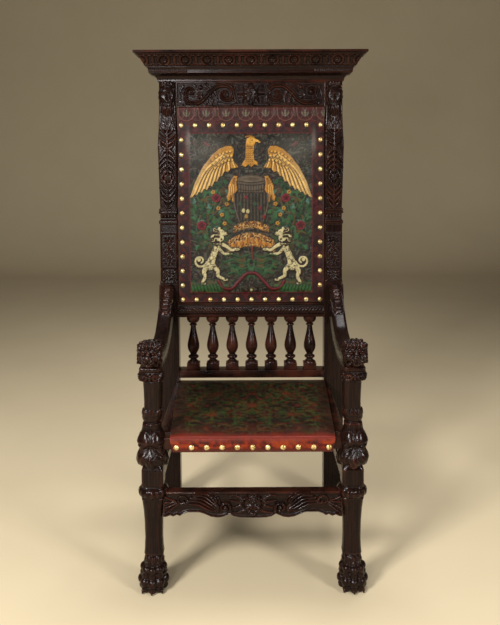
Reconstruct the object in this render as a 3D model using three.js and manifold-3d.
// A carved high-backed throne chair: oak frame, leather back and leather seat.
// Millimetres, +Z up, the front faces -Y, the feet stand on Z = 0.
import * as THREE from "three";
import { mergeVertices } from "three/addons/utils/BufferGeometryUtils.js";
import Module from "manifold-3d";

const wasm = await Module();
wasm.setup();

// Overall sizes.
const totalHeight = 1700;
const postSpacing = 575;
const backPostX = 306;
const frontPostX = 301;
const frontY = -275;
const backY = frontY + postSpacing;
const fitGap = 0.3;
const sliverSize = 0.25;

// Back posts.
const stileWidth = 66;
const stileDepth = 60;
const corniceHeight = 102;
const hermTop = totalHeight - corniceHeight;
const armTop = 847;
const panelFoot = armTop + 61;
const panelTop = panelFoot + 128;
const hermFoot = panelTop + 93;
const hermHeight = hermTop - hermFoot;
const stileFront = backY - stileDepth / 2;
const stileBack = backY + stileDepth / 2;
const innerX = backPostX - stileWidth / 2;

// Cornice and frieze.
const corniceOverhang = 79;
const rosettePitch = 78;
const rosetteRadius = 14;
const friezeHeight = 93;
const friezeDepth = 40;
const friezeSink = 4;
const friezeRim = 6;
const friezeSetBack = 2;

// Leather back.
const backPadFoot = 777;
const backPadDepth = 40;
const backPadField = 8;
const backPadBorder = 44;
const midRailHeight = 54;
const midRailDepth = 46;

// Balusters between the middle rail and the lower rail.
const balusterCount = 7;
const balusterPitch = 73.6;
const balusterPlinth = 48;
const balusterPlinthHeight = 26;
const balusterBelly = 22.5;
const balusterNeck = 10.5;
const balusterCap = 25;
const lowerRailTop = 520;
const lowerRailHeight = 29;

// Seat.
const seatRailTop = 474;
const seatRailHeight = 46;
const seatRailWidth = 42;
const seatRailBackDepth = 33;
const seatReach = 29;
const sideRailInner = 245;
const seatFrontHalf = 247;
const seatRearEase = 2;
const seatRearHalf = innerX + seatRearEase;
const seatTop = 486;
const seatCrown = 5;
const seatRearDrop = 5;
const seatFlapHeight = 52;
const seatFlapFoot = seatTop - seatFlapHeight;
const seatFlapDepth = 12;
const seatRound = 7;

// Front posts, from the floor up.
const pawTop = 122;
const ringFoot = 292;
const ringTop = 325;
const blockTop = 382;
const armDrop = 155;
const postTop = armTop - armDrop;
const abacusHeight = 14;
const abacusFoot = postTop - abacusHeight;
const shaftHeight = postTop - blockTop;
const bulbFoot = blockTop + 0.226 * shaftHeight;
const bulbTop = blockTop + 0.445 * shaftHeight;
const cupTop = blockTop + 0.584 * shaftHeight;
const shaftTop = blockTop + 0.871 * shaftHeight;
const columnHalf = 31;
const blockHalf = 33;
const ringRadius = 45;
const shaftHalf = 29;
const abacusHalf = 23;
const toePitch = 26;
const pawShift = 3;
const pawReach = 64;

// Arms and lion heads.
const armX = 311;
const headX = 306;
const postLean = 7;
const armWidth = 50;
const headHalf = 36;
const headRise = 46;
const headZ = postTop + headRise;
const armLength = stileFront - frontY + 5;

// Stretchers.
const stretcherTop = 309;
const stretcherFoot = 240;
const stretcherThickness = 33;
const stretcherSetBack = 10;
const sideStretcherHeight = 38;
const sideStretcherWidth = 26;
const backStretcherHeight = 44;
const backStretcherDepth = 28;

const V = (x, y, z) => new THREE.Vector3(x, y, z);

// Turns a closed three.js geometry into a solid for the boolean steps.
function solid(geometry) {
  const bare = geometry.clone();
  bare.deleteAttribute("normal");
  bare.deleteAttribute("uv");
  const merged = mergeVertices(bare, 1e-4);
  const at = merged.attributes.position;
  const old = merged.index.array;
  const kept = [];
  let volume = 0;
  const p = [V(0, 0, 0), V(0, 0, 0), V(0, 0, 0)];
  for (let i = 0; i < old.length; i += 3) {
    const [a, b, c] = [old[i], old[i + 1], old[i + 2]];
    if (a === b || b === c || a === c) continue;
    kept.push(a, b, c);
    p[0].fromBufferAttribute(at, a);
    p[1].fromBufferAttribute(at, b);
    p[2].fromBufferAttribute(at, c);
    volume += p[0].dot(p[1].cross(p[2]));
  }
  if (volume < 0) kept.reverse();
  return new wasm.Manifold(new wasm.Mesh({
    numProp: 3,
    vertProperties: new Float32Array(at.array),
    triVerts: new Uint32Array(kept),
  }));
}

function join(parts) {
  return parts.reduce((whole, part) => whole.add(part));
}

// Joins carved parts and drops the slivers where they cross.
function joinCarved(parts) {
  return join(parts).asOriginal().simplify(sliverSize);
}

function toGeometry(manifold) {
  const mesh = manifold.asOriginal().simplify(sliverSize / 20).getMesh();
  const geometry = new THREE.BufferGeometry();
  const places = new Float32Array(mesh.vertProperties);
  geometry.setAttribute("position", new THREE.BufferAttribute(places, 3));
  geometry.setIndex(new THREE.BufferAttribute(new Uint32Array(mesh.triVerts), 1));
  geometry.computeVertexNormals();
  return geometry;
}

function box(x0, x1, y0, y1, z0, z1) {
  const geometry = new THREE.BoxGeometry(x1 - x0, y1 - y0, z1 - z0);
  geometry.translate((x0 + x1) / 2, (y0 + y1) / 2, (z0 + z1) / 2);
  return solid(geometry);
}

// Joins rings that each hold the same number of points into one closed body.
function loft(rings) {
  const n = rings[0].length;
  const index = [];
  for (let i = 0; i + 1 < rings.length; i++) {
    for (let j = 0; j < n; j++) {
      const a = i * n + j;
      const b = i * n + ((j + 1) % n);
      index.push(a, b, b + n, a, b + n, a + n);
    }
  }
  const last = (rings.length - 1) * n;
  for (let j = 1; j + 1 < n; j++) {
    index.push(0, j + 1, j, last, last + j, last + j + 1);
  }
  const places = rings.flat().flatMap((q) => [q.x, q.y, q.z]);
  const geometry = new THREE.BufferGeometry();
  geometry.setAttribute("position", new THREE.Float32BufferAttribute(places, 3));
  geometry.setIndex(index);
  return solid(geometry);
}

// A level ring with a flat back and chamfered front corners.
function postRing(cx, half, front, back, chamfer, z) {
  return [
    V(cx - half, back, z),
    V(cx - half, front + chamfer, z),
    V(cx - half + chamfer, front, z),
    V(cx + half - chamfer, front, z),
    V(cx + half, front + chamfer, z),
    V(cx + half, back, z),
  ];
}

// A level ring of points round an axis; every second point stands in by notch.
function roundRing(cx, cy, rx, ry, z, sides, notch = 0) {
  return Array.from({ length: sides }, (_, j) => {
    const angle = ((j + 0.5) / sides) * 2 * Math.PI;
    const scale = 1 - (j % 2) * notch;
    return V(cx + rx * scale * Math.cos(angle), cy + ry * scale * Math.sin(angle), z);
  });
}

function squareRing(cx, cy, half, z, cut = 0.28) {
  const c = half * (1 - cut);
  const corners = [[c, half], [half, c], [half, -c], [c, -half]];
  const rest = corners.map(([x, y]) => [-x, -y]);
  return corners.concat(rest).map(([x, y]) => V(cx + x, cy + y, z));
}

// A rounded lump; its poles are up and down.
function blob(x, y, z, rx, ry, rz, round = 8, high = 5) {
  const geometry = new THREE.SphereGeometry(1, round, high);
  geometry.rotateX(Math.PI / 2);
  geometry.scale(rx, ry, rz);
  geometry.translate(x, y, z);
  return solid(geometry);
}

// A rounded lump that faces the front, half sunk in a flat face at y.
function boss(x, y, z, rx, ry, rz, round = 6) {
  const geometry = new THREE.SphereGeometry(1, round, 4);
  geometry.scale(rx, ry, rz);
  geometry.translate(x, y + ry * 0.12, z);
  return solid(geometry);
}

// A small pointed stud with eight faces.
function stud(x, y, z, rx, ry, rz) {
  const geometry = new THREE.OctahedronGeometry(1);
  geometry.scale(rx, ry, rz);
  geometry.translate(x, y, z);
  return solid(geometry);
}

// A tapering limb through [x, y, z, across, deep] stations, with six sides.
function limb(stations) {
  const rings = stations.map(([x, y, z, across, deep]) => Array.from({ length: 6 }, (_, j) => {
    const angle = ((j + 0.5) / 6) * 2 * Math.PI;
    return V(x + across * Math.cos(angle), y + deep * Math.sin(angle), z);
  }));
  return loft(rings);
}

// A raised strap along a flat path. place turns (across, along, out) into space.
function strap(path, half, rise, place, sink = 3) {
  const rings = path.map(([u, v], i) => {
    const before = path[Math.max(i - 1, 0)];
    const after = path[Math.min(i + 1, path.length - 1)];
    const length = Math.hypot(after[0] - before[0], after[1] - before[1]);
    const nu = -(after[1] - before[1]) / length;
    const nv = (after[0] - before[0]) / length;
    const h = half(i / (path.length - 1));
    const up = rise(i / (path.length - 1));
    return [[h, -sink], [h * 0.5, up], [-h * 0.5, up], [-h, -sink]].map(
      ([side, out]) => place(u + nu * side, v + nv * side, out));
  });
  return loft(rings);
}

// A leaf with lobed edges and a sunk midrib, growing along +v from v = 0.
function leaf(length, half, rise, lobes, place, sink = 3) {
  const steps = lobes * 2 + 1;
  const rings = Array.from({ length: steps + 1 }, (_, i) => {
    const t = i / steps;
    const body = Math.sin(Math.PI * Math.min(0.16 + t * 0.84, 0.985)) ** 0.7;
    const h = half * body * (i % 2 ? 1.12 : 0.8);
    const up = rise * (0.45 + 0.55 * body);
    return [[h, -sink], [h * 0.62, up], [0, up * 0.6], [-h * 0.62, up], [-h, -sink]].map(
      ([side, out]) => place(side, t * length, out));
  });
  return loft(rings);
}

function spiral(cu, cv, r0, r1, a0, a1, steps) {
  return Array.from({ length: steps + 1 }, (_, i) => {
    const t = i / steps;
    const angle = ((a0 + (a1 - a0) * t) * Math.PI) / 180;
    const r = r0 + (r1 - r0) * t;
    return [cu + r * Math.cos(angle), cv + r * Math.sin(angle)];
  });
}

function cornice() {
  const half = backPostX + stileWidth / 2;
  const k = corniceOverhang / 85;
  const up = corniceHeight / 102;
  const profile = [
    [0, 2], [7, 3], [15, 7], [19, 10], [20, 15], [27, 27], [27, 32], [51, 38],
    [51, 43], [63, 47], [76, 56], [87, 68], [87, 73], [92, 77], [94, 85], [102, 85],
  ];
  const rings = profile.map(([rise, out]) => {
    const side = half + out * k;
    const front = stileFront - out * k;
    const z = hermTop + rise * up;
    return [V(-side, stileBack, z), V(-side, front, z), V(side, front, z), V(side, stileBack, z)];
  });
  const parts = [loft(rings)];
  const faceOut = 52 * k;
  const z = hermTop + 69 * up;
  const count = Math.floor((2 * (half + faceOut)) / rosettePitch);
  const rosettes = Array.from({ length: count }, (_, i) => (i - (count - 1) / 2) * rosettePitch);
  for (const x of rosettes) {
    parts.push(boss(x, stileFront - faceOut, z, rosetteRadius, 7, rosetteRadius));
  }
  for (const side of [-1, 1]) {
    const y = (stileFront - faceOut + stileBack) / 2;
    parts.push(stud(side * (half + faceOut), y, z, 6, rosetteRadius, rosetteRadius));
  }
  return joinCarved(parts);
}

function friezeRail() {
  const front = stileFront + friezeSetBack;
  const foot = hermTop - friezeHeight;
  const midZ = hermTop - friezeHeight / 2;
  const slab = box(-innerX, innerX, front, front + friezeDepth, foot, hermTop);
  const sunk = box(-innerX + friezeRim, innerX - friezeRim, front - 9, front + friezeSink,
    foot + friezeRim, hermTop - friezeRim);
  const parts = [slab.subtract(sunk)];
  const r = friezeHeight * 0.34;
  const outer = innerX - friezeRim - r - 8;
  const inner = outer * 0.42;
  for (const side of [-1, 1]) {
    const place = (u, v, out) => V(side * u, front + friezeSink - out, midZ + v);
    const outerScroll = spiral(outer, 3, r * 0.3, r, 0, 270, 6);
    const innerScroll = spiral(inner, 0, r * 0.9, r * 0.28, 90, 450, 7);
    const link = [
      [outer - r * 0.95, -r * 0.55], [(outer + inner) / 2, r * 0.5], [inner + r * 0.75, r * 0.98],
    ];
    const path = outerScroll.concat(link, innerScroll);
    parts.push(strap(path, (t) => 4.6 + 1.6 * Math.sin(t * Math.PI), () => 7, place));
    const bud = (outer + inner) / 2;
    parts.push(boss(side * (bud + 20), front + friezeSink, midZ + r * 0.75, 12, 7, 8));
    parts.push(boss(side * (bud - 14), front + friezeSink, midZ - r * 0.5, 16, 7, 9));
    parts.push(stud(side * outer, front + friezeSink, midZ + 3, 8, 9, 8));
  }
  const petals = 8;
  for (let i = 0; i < petals; i++) {
    const angle = ((i + 0.5) / petals) * 2 * Math.PI;
    const reach = r * 0.68;
    parts.push(stud(reach * 1.25 * Math.cos(angle), front + friezeSink,
      midZ + reach * Math.sin(angle), 13, 8, 11));
  }
  parts.push(boss(0, front + friezeSink, midZ, 14, 11, 14, 8));
  return joinCarved(parts);
}

function backPost(side) {
  const cx = side * backPostX;
  const half = stileWidth / 2;
  // Height, half width, chamfer of the front corners and how far the front stands out.
  const levels = [
    [0, half, 3, 0], [armTop + 4, half, 3, 0], [armTop + 4, half + 2, 2, 2],
    [armTop + 11, half + 2, 2, 2], [armTop + 15, half, 2, 0], [panelFoot - 5, half, 2, 0],
    [panelFoot - 3, half - 2, 2, -2], [panelFoot, half, 2, 0], [panelTop + 37, half, 2, 0],
    [panelTop + 40, half + 3, 3, 4], [panelTop + 50, half + 3, 3, 4],
    [panelTop + 54, half - 2, 3, 0], [hermFoot - 18, half - 2, 3, 0],
    [hermFoot - 15, half + 3, 3, 5], [hermFoot, half + 3, 3, 5],
    [hermFoot + 4, half - 2, 8, 2], [hermFoot + 0.192 * hermHeight, half, 9, 6],
    [hermFoot + 0.426 * hermHeight, half + 3, 10, 12],
    [hermFoot + 0.495 * hermHeight, half + 4, 11, 14],
    [hermFoot + 0.618 * hermHeight, half, 10, 8],
    [hermFoot + 0.746 * hermHeight, half - 2, 8, 3],
    [hermTop, half - 3, 7, 2],
  ];
  const rings = levels.map(([z, h, chamfer, out]) =>
    postRing(cx, h, stileFront - out, stileBack, chamfer, z));
  const parts = [loft(rings)];
  const front = stileFront;
  // Carved head with its cap and beard.
  parts.push(boss(cx, front - 2, hermTop - 50, 19, 20, 31, 8));
  parts.push(boss(cx, front - 2, hermTop - 16, 25, 18, 14, 8));
  parts.push(stud(cx, front - 18, hermTop - 55, 5, 8, 10));
  parts.push(boss(cx, front - 3, hermTop - 86, 16, 19, 20));
  // Folds that fan out under the beard.
  for (let i = -2; i <= 2; i++) {
    const place = (u, v, out) => V(cx + u, front - 3 - out, hermTop - 118 - v);
    const path = [[i * 5, 0], [i * 7, 26], [i * 10.5, 58]];
    parts.push(strap(path, (t) => 3 + 2 * t, (t) => 6 + 5 * t, place));
  }
  // Two tiers of acanthus, the upper one bowed out.
  const upper = (u, v, out) => {
    const bow = 14 * Math.sin(Math.PI * Math.min(v / 150, 1)) + 3;
    return V(cx + u, front - bow - out, hermTop - 190 - v);
  };
  const lower = (u, v, out) => V(cx + u, front - 5 - out, hermTop - 330 - v);
  parts.push(leaf(150, 27, 8, 3, upper));
  parts.push(leaf(132, 26, 7, 3, lower));
  // Beads between the fillets.
  const beadZ = (panelTop + 54 + hermFoot - 18) / 2;
  for (let i = 0; i < 4; i++) {
    parts.push(stud(cx + (i - 1.5) * 15, front, beadZ, 8, 8, 9));
  }
  const whole = join(parts);
  const sunkPanel = box(cx - half + 7, cx + half - 7, front - 20, front + 4,
    panelFoot + 4, panelTop);
  const carved = [whole.subtract(sunkPanel)];
  const panelPlace = (u, v, out) => V(cx + u, front + 4 - out, panelFoot + 4 + v);
  const stem = [[0, 8], [3, 40], [-3, 80], [0, 112]];
  carved.push(strap(stem, (t) => 3 + 7 * t * t, () => 5, panelPlace));
  carved.push(boss(cx, front + 4, panelFoot + 55, 17, 7, 17));
  carved.push(leaf(34, 17, 5, 2, panelPlace));
  carved.push(boss(cx, front, panelFoot - 26, 15, 6, 14));
  // Clear of the rails and the leather that stand between the posts.
  const reach = stileWidth;
  const clearX = [side * (innerX - reach), side * innerX].sort((a, b) => a - b);
  const clear = box(clearX[0], clearX[1], stileFront - backPadField - 2, stileBack + 9,
    -9, hermTop + 9);
  return joinCarved(carved).subtract(clear);
}

function backPad() {
  const top = hermTop - friezeHeight;
  const front = stileFront + 2;
  const back = front + backPadDepth;
  const ring = (y, inset) => [
    V(-innerX + inset, y, backPadFoot + inset), V(innerX - inset, y, backPadFoot + inset),
    V(innerX - inset, y, top - inset), V(-innerX + inset, y, top - inset),
  ];
  const fieldEdge = backPadBorder - 8;
  return loft([
    ring(back, 0), ring(front + 4, 0), ring(front, 4), ring(front, fieldEdge),
    ring(front - backPadField * 0.7, backPadBorder), ring(front - backPadField, backPadBorder + 24),
  ]);
}

function midRail() {
  const front = stileFront;
  const foot = backPadFoot - midRailHeight;
  const rise = midRailHeight;
  const profile = [
    [front + 4, 0], [front + 1, 5], [front + 1, 9], [front + 6, 12], [front + 1, rise * 0.4],
    [front - 1, rise * 0.55], [front + 1, rise * 0.75], [front + 6, rise * 0.86],
    [front + 1, rise * 0.9], [front + 1, rise], [front + midRailDepth, rise],
    [front + midRailDepth, 0],
  ];
  const shape = new THREE.Shape(profile.map(([y, z]) => new THREE.Vector2(y, z)));
  const geometry = new THREE.ExtrudeGeometry(shape, { depth: 2 * innerX, bevelEnabled: false });
  geometry.applyMatrix4(new THREE.Matrix4().makeBasis(V(0, 1, 0), V(0, 0, 1), V(1, 0, 0)));
  geometry.translate(-innerX, 0, foot);
  return solid(geometry);
}

function baluster(x) {
  const foot = lowerRailTop;
  const top = backPadFoot - midRailHeight;
  const h = top - foot;
  const half = balusterPlinth / 2;
  const y = backY;
  const plinth = box(x - half, x + half, y - half, y + half, foot, foot + balusterPlinthHeight);
  const low = balusterPlinthHeight - 4;
  const profile = [
    [0, low], [15, low], [14, 0.19 * h], [19, 0.235 * h], [14, 0.285 * h],
    [balusterBelly, 0.42 * h], [20, 0.56 * h], [balusterNeck, 0.83 * h],
    [balusterCap - 2, 0.9 * h], [balusterCap, h], [0, h],
  ];
  const points = profile.map(([r, z]) => new THREE.Vector2(r, z));
  const geometry = new THREE.LatheGeometry(points, 8);
  geometry.rotateX(Math.PI / 2);
  geometry.translate(x, y, foot);
  return plinth.add(solid(geometry));
}

// The arm's side outline, as shares of its length and of its drop to the post's top:
// the top edge from the back post forward, then the underside.
const armTopEdge = [
  [0, 0], [0.058, 0.065], [0.16, 0.297], [0.255, 0.581], [0.364, 0.806], [0.491, 0.929],
  [0.636, 0.968], [0.764, 0.91], [0.873, 0.748], [0.945, 0.594], [1, 0.516],
];
const armLowEdge = [
  [1, 1], [0.938, 1], [0.902, 1.161], [0.818, 1.29], [0.691, 1.342], [0.491, 1.348],
  [0.309, 1.226], [0.127, 0.942], [0, 0.697],
];

// The mane from back to front: distance ahead, size and depth of the notches between locks.
const maneRings = [
  [-38, 0.6, 0], [-30, 0.9, 0.1], [-16, 1.08, 0.16], [-4, 1.0, 0.14], [10, 1.08, 0.17],
  [22, 0.92, 0.12], [31, 0.66, 0],
];

function arm(side) {
  const cx = side * armX;
  const outline = armTopEdge.concat(armLowEdge).map(
    ([ahead, down]) => new THREE.Vector2(stileFront - ahead * armLength, armTop - down * armDrop));
  const shape = new THREE.Shape(outline);
  const geometry = new THREE.ExtrudeGeometry(shape, {
    depth: armWidth - 6, bevelEnabled: true, bevelThickness: 3, bevelSize: 3,
    bevelOffset: -3, bevelSegments: 1,
  });
  geometry.applyMatrix4(new THREE.Matrix4().makeBasis(V(0, 1, 0), V(0, 0, 1), V(1, 0, 0)));
  geometry.translate(cx - armWidth / 2 + 3, 0, 0);
  const parts = [solid(geometry)];
  // Scales carved on the steep part of the arm.
  for (let row = 0; row < 5; row++) {
    const t = (row + 0.5) / 5;
    const ahead = 14 + 108 * t;
    const down = 3 + 76 * t ** 1.25;
    for (const step of row % 2 ? [-0.5, 0.5] : [-1, 0, 1]) {
      parts.push(stud(cx + step * 12.5, stileFront - ahead, armTop - down, 7, 13, 9));
    }
  }
  // Lion head: a mane of lobed rings, then brows, muzzle, nose and chin.
  const hx = side * headX;
  const hy = frontY - 14;
  const mane = maneRings.map(([ahead, r, notch], i) => {
    const sides = 16;
    return Array.from({ length: sides }, (_, j) => {
      const angle = ((j + 0.5) / sides) * 2 * Math.PI;
      const scale = r * headHalf * (1 - ((j + i) % 2) * notch);
      return V(hx + scale * Math.cos(angle), hy - ahead, headZ + scale * 0.97 * Math.sin(angle));
    });
  });
  parts.push(loft(mane));
  parts.push(blob(hx, hy - 36, headZ - 12, 19, 21, 17, 8, 5));
  parts.push(blob(hx, hy - 31, headZ - 28, 13, 12, 9, 6, 4));
  parts.push(stud(hx, hy - 53, headZ - 6, 9, 7, 7));
  for (const eye of [-1, 1]) {
    parts.push(blob(hx + eye * 14, hy - 29, headZ + 10, 13, 10, 8, 6, 4));
  }
  const base = side * (frontPostX + postLean);
  parts.push(box(base - abacusHalf, base + abacusHalf, frontY - 24, frontY + 24, postTop, headZ));
  const below = box(cx - 80, cx + 80, frontY - 120, frontY + 30, postTop - 90, postTop);
  return joinCarved(parts).subtract(below);
}

function paw(cx, columnX) {
  const parts = [loft([
    squareRing(cx, frontY, 42, 0), squareRing(cx, frontY, 44, 26), squareRing(cx, frontY, 39, 72),
    squareRing(columnX, frontY, 34, 100),
    squareRing(columnX, frontY, columnHalf - 1, pawTop),
  ])];
  const reach = pawReach;
  for (const i of [-1, 0, 1]) {
    const x = cx + i * toePitch;
    const y = frontY + Math.abs(i) * 4;
    parts.push(limb([
      [x, y - reach * 0.76, -4, 10, 15], [x, y - reach * 0.66, 30, 15.5, 20],
      [x, y - reach * 0.52, 50, 11.5, 17], [x, y - reach * 0.48, 68, 14, 17],
      [x, y - reach * 0.32, 90, 9, 12],
    ]));
  }
  for (const i of [-1, 1]) {
    parts.push(limb([
      [cx + i * 43, frontY - 14, -4, 9, 16], [cx + i * 40, frontY - 9, 34, 14, 22],
      [cx + i * 35, frontY - 4, 56, 11, 17], [cx + i * 31, frontY - 2, 86, 9, 14],
    ]));
  }
  parts.push(blob(cx, frontY + 30, 22, 32, 22, 24, 6, 4));
  return join(parts).subtract(box(cx - 90, cx + 90, frontY - 120, frontY + 90, -90, 0));
}

function frontPost(side) {
  const cx = side * frontPostX;
  const topX = side * (frontPostX + postLean);
  // The upper half leans a little outward, to stand under the arm.
  const bx = (cx + topX) / 2;
  const parts = [paw(side * (frontPostX + pawShift), cx)];
  parts.push(loft([
    squareRing(cx, frontY, columnHalf - 0.5, pawTop - 6),
    squareRing(cx, frontY, columnHalf + 1, ringFoot + 3),
  ]));
  const ringMid = (ringFoot + ringTop) / 2;
  const lobed = (z, r) => roundRing(cx, frontY, r, r * 0.92, z, 16, 0.09);
  parts.push(loft([
    lobed(ringFoot - 2, ringRadius - 9), lobed(ringMid - 6, ringRadius),
    lobed(ringMid + 6, ringRadius), lobed(ringTop, ringRadius - 9),
  ]));
  parts.push(loft([
    squareRing(cx, frontY, blockHalf - 3, ringTop - 3, 0.15),
    squareRing(cx, frontY, blockHalf, ringTop + 8, 0.15),
    squareRing(cx, frontY, blockHalf, blockTop, 0.15),
    squareRing(cx, frontY, blockHalf - 6, bulbFoot + 6, 0.25),
  ]));
  // Two-lobed bulb with a narrow neck.
  const bulbZ = bulbFoot + 22;
  parts.push(loft([
    roundRing(bx, frontY, 28, 28, bulbFoot - 4, 8), roundRing(bx, frontY, 31, 33, bulbZ, 8),
    roundRing(bx, frontY, 27, 27, bulbTop - 14, 8), roundRing(bx, frontY, 25, 25, bulbTop, 8),
  ]));
  for (const i of [-1, 1]) {
    parts.push(blob(bx + i * 17, frontY - 3, bulbZ + 4, 25, 35, 30, 8, 5));
  }
  // Acanthus spray that falls from the bulb over the block.
  const spray = [
    [-90, 0, 68, 21], [-90, -47, 62, 18], [-90, 47, 62, 18], [-90, -92, 56, 18],
    [-90, 92, 56, 18],
  ];
  for (const [base, turn, length, half] of spray) {
    const angle = ((base + turn) * Math.PI) / 180;
    const radial = V(Math.cos(angle), Math.sin(angle), 0);
    const across = V(-radial.y, radial.x, 0);
    const place = (u, v, out) => {
      const flare = 28 + 19 * Math.sin((v / length) * Math.PI * 0.6) + out;
      return V(bx, frontY, bulbFoot + 2 - v).addScaledVector(radial, flare)
        .addScaledVector(across, u);
    };
    parts.push(leaf(length, half, 6, 2, place, 9));
  }
  // Leaf cup, shaft, volutes and abacus.
  const cup = (z, r, notch) => roundRing(bx, frontY, r, r * 0.96, z, 12, notch);
  parts.push(loft([
    cup(bulbTop - 2, 25, 0), cup(bulbTop + 10, 29, 0.03), cup(cupTop - 12, 33, 0.08),
    cup(cupTop, 31, 0.12),
  ]));
  parts.push(loft([
    squareRing(cx, frontY, shaftHalf + 1, cupTop - 6),
    squareRing(cx, frontY, shaftHalf, (cupTop + shaftTop) / 2),
    squareRing(topX, frontY, shaftHalf - 4, shaftTop + 6),
    squareRing(topX, frontY, abacusHalf - 3, abacusFoot + 1),
  ]));
  const voluteRadius = (abacusFoot - shaftTop) / 2;
  for (const i of [-1, 1]) {
    const roll = new THREE.CylinderGeometry(voluteRadius, voluteRadius, 56, 8);
    roll.translate(topX + i * (voluteRadius - 0.8), frontY, (abacusFoot + shaftTop) / 2 + 0.5);
    parts.push(solid(roll));
  }
  parts.push(box(topX - abacusHalf, topX + abacusHalf, frontY - 27, frontY + 27,
    abacusFoot, postTop));
  // Seats for the rails and stretchers that meet the post.
  const g = fitGap;
  const inner = frontPostX - columnHalf;
  const innerSpan = [side * (inner - 40), side * inner].sort((a, b) => a - b);
  const stretcherY = frontY - columnHalf + stretcherSetBack;
  const cuts = [
    box(innerSpan[0], innerSpan[1], stretcherY - g, stretcherY + stretcherThickness + g,
      stretcherFoot - 20, stretcherTop + g),
    box(innerSpan[0], innerSpan[1], frontY - 60, frontY + columnHalf + 60,
      seatFlapFoot - g, seatTop + seatCrown + g),
  ];
  const railX = [side * (sideRailInner - g), side * (sideRailInner + seatRailWidth + g)];
  railX.sort((a, b) => a - b);
  cuts.push(box(railX[0], railX[1], frontY + columnHalf - 1, frontY + 90,
    seatRailTop - seatRailHeight - g, seatRailTop + g));
  const sideX = [side * (frontPostX - sideStretcherWidth / 2 - g),
    side * (frontPostX + sideStretcherWidth / 2 + g)];
  sideX.sort((a, b) => a - b);
  cuts.push(box(sideX[0], sideX[1], frontY + columnHalf, frontY + 90,
    stretcherTop - sideStretcherHeight - g, stretcherTop + g));
  return cuts.reduce((post, cut) => post.subtract(cut), joinCarved(parts));
}

// The shaped lower edge of the front stretcher as lobes: start, end and depth.
const stretcherLobes = [
  [-74, 74, 16], [74, 200, 13], [200, 252, 12], [252, 292, 14],
];

function stretcherEdge(x) {
  const at = Math.abs(x);
  const [from, to, depth] = stretcherLobes.find(([, end]) => at <= end) ?? stretcherLobes.at(-1);
  const t = (at - from) / (to - from);
  const skew = from > 70 && from < 80 ? t ** 0.72 : t;
  return stretcherFoot - depth * Math.sin(Math.PI * skew) ** 0.6;
}

function frontStretcher() {
  const half = frontPostX - columnHalf;
  const front = frontY - columnHalf + stretcherSetBack;
  const steps = 40;
  const low = Array.from({ length: steps + 1 }, (_, i) => {
    const x = -half + (2 * half * i) / steps;
    return new THREE.Vector2(x, stretcherEdge(x));
  });
  const shape = new THREE.Shape([...low, new THREE.Vector2(half, stretcherTop),
    new THREE.Vector2(-half, stretcherTop)]);
  const geometry = new THREE.ExtrudeGeometry(shape, {
    depth: stretcherThickness, bevelEnabled: false,
  });
  geometry.rotateX(Math.PI / 2);
  geometry.translate(0, front + stretcherThickness, 0);
  const board = solid(geometry);
  const sink = 3;
  const parts = [board];
  const midZ = (stretcherTop + stretcherFoot) / 2 - 8;
  for (const side of [-1, 1]) {
    const place = (u, v, out) => V(side * u, front - out, midZ + v);
    const scroll = spiral(104, 4, 7, 21, 180, -90, 6);
    const path = scroll.concat([[140, -12], [170, 8], [200, 16], [232, 4]]);
    parts.push(strap(path, (t) => 4 + 3 * t, () => 4, place, sink));
    parts.push(stud(side * 165, front, midZ - 14, 22, 6, 9));
    parts.push(stud(side * 150, front, midZ + 20, 16, 6, 9));
    parts.push(stud(side * 214, front, midZ - 6, 18, 6, 10));
  }
  // Central mask.
  parts.push(boss(0, front, midZ + 2, 24, 10, 26, 8));
  parts.push(stud(0, front - 8, midZ, 6, 6, 9));
  for (const side of [-1, 1]) {
    parts.push(stud(side * 10, front - 6, midZ + 11, 10, 5, 5));
    parts.push(stud(side * 33, front, midZ + 10, 16, 6, 9));
    parts.push(stud(side * 34, front, midZ - 12, 16, 6, 9));
  }
  return joinCarved(parts);
}

function seatPad() {
  const front = frontY - seatReach;
  const rear = stileFront - 2;
  // Each ring drops towards the rear edge by the given amount.
  const ring = (inset, z, drop = seatRearDrop) => [
    V(-seatFrontHalf + inset, front + inset, z), V(seatFrontHalf - inset, front + inset, z),
    V(seatRearHalf - inset, rear - inset, z - drop),
    V(-seatRearHalf + inset, rear - inset, z - drop),
  ];
  const slab = loft([
    ring(0, seatRailTop, 0), ring(0, seatTop - seatRound), ring(seatRound * 0.4, seatTop - 2),
    ring(seatRound, seatTop), ring(60, seatTop + seatCrown),
  ]);
  const flapLow = seatFrontHalf - 14;
  const flapRing = (half, z) => [
    V(-half, front, z), V(half, front, z), V(half, front + seatFlapDepth, z),
    V(-half, front + seatFlapDepth, z),
  ];
  return slab.add(loft([
    flapRing(flapLow, seatFlapFoot), flapRing(seatFrontHalf, seatRailTop - 8),
    flapRing(seatFrontHalf, seatRailTop + 2),
  ]));
}

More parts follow.
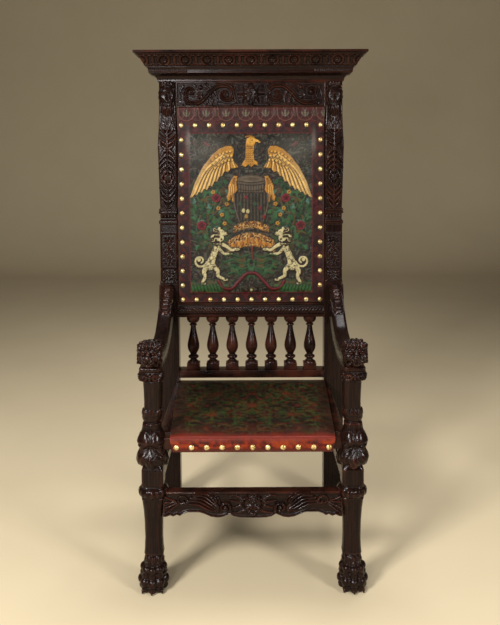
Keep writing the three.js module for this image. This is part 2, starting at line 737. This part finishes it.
function plainRails() {
  const postBack = frontY + columnHalf;
  const postInner = frontPostX - columnHalf;
  const railFoot = seatRailTop - seatRailHeight;
  const pieces = {
    lower_rail: box(-innerX, innerX, stileFront, stileBack, lowerRailTop - lowerRailHeight,
      lowerRailTop),
    seat_rail_front: box(-postInner, postInner, frontY - seatReach + seatFlapDepth, postBack,
      seatFlapFoot + 4, seatRailTop),
    seat_rail_back: box(-innerX, innerX, stileFront, stileFront + seatRailBackDepth, railFoot, seatRailTop),
    back_stretcher: box(-innerX, innerX, backY - backStretcherDepth / 2,
      backY + backStretcherDepth / 2,
      stretcherTop - backStretcherHeight, stretcherTop),
  };
  for (const [name, side] of [["left", -1], ["right", 1]]) {
    const rail = [side * sideRailInner, side * (sideRailInner + seatRailWidth)];
    rail.sort((a, b) => a - b);
    pieces[`seat_rail_${name}`] = box(rail[0], rail[1], postBack, stileFront, railFoot,
      seatRailTop);
    const cx = side * frontPostX;
    pieces[`side_stretcher_${name}`] = box(cx - sideStretcherWidth / 2,
      cx + sideStretcherWidth / 2, postBack, stileFront, stretcherTop - sideStretcherHeight,
      stretcherTop);
  }
  return pieces;
}

const wood = { color: 0x2b1a14, roughness: 0.4 };
const leather = { color: 0x3a2a20, roughness: 0.5 };

const pieces = {
  cornice: cornice(),
  frieze_rail: friezeRail(),
  back_post_left: backPost(-1),
  back_post_right: backPost(1),
  back_pad: backPad(),
  mid_rail: midRail(),
  arm_left: arm(-1),
  arm_right: arm(1),
  front_post_left: frontPost(-1),
  front_post_right: frontPost(1),
  front_stretcher: frontStretcher(),
  seat_pad: seatPad(),
  ...plainRails(),
};
for (let i = 0; i < balusterCount; i++) {
  pieces[`baluster_${i + 1}`] = baluster((i - (balusterCount - 1) / 2) * balusterPitch);
}

const whole = new THREE.Box3();
const group = new THREE.Group();
group.name = "throne";
for (const [name, piece] of Object.entries(pieces)) {
  const look = name.endsWith("_pad") ? leather : wood;
  const mesh = new THREE.Mesh(toGeometry(piece), new THREE.MeshStandardMaterial(look));
  mesh.name = name;
  mesh.geometry.computeBoundingBox();
  whole.union(mesh.geometry.boundingBox);
  group.add(mesh);
}

// The origin is the middle of the footprint, on the floor.
const centre = whole.getCenter(V(0, 0, 0));
for (const mesh of group.children) mesh.geometry.translate(-centre.x, -centre.y, -whole.min.z);

export default group;
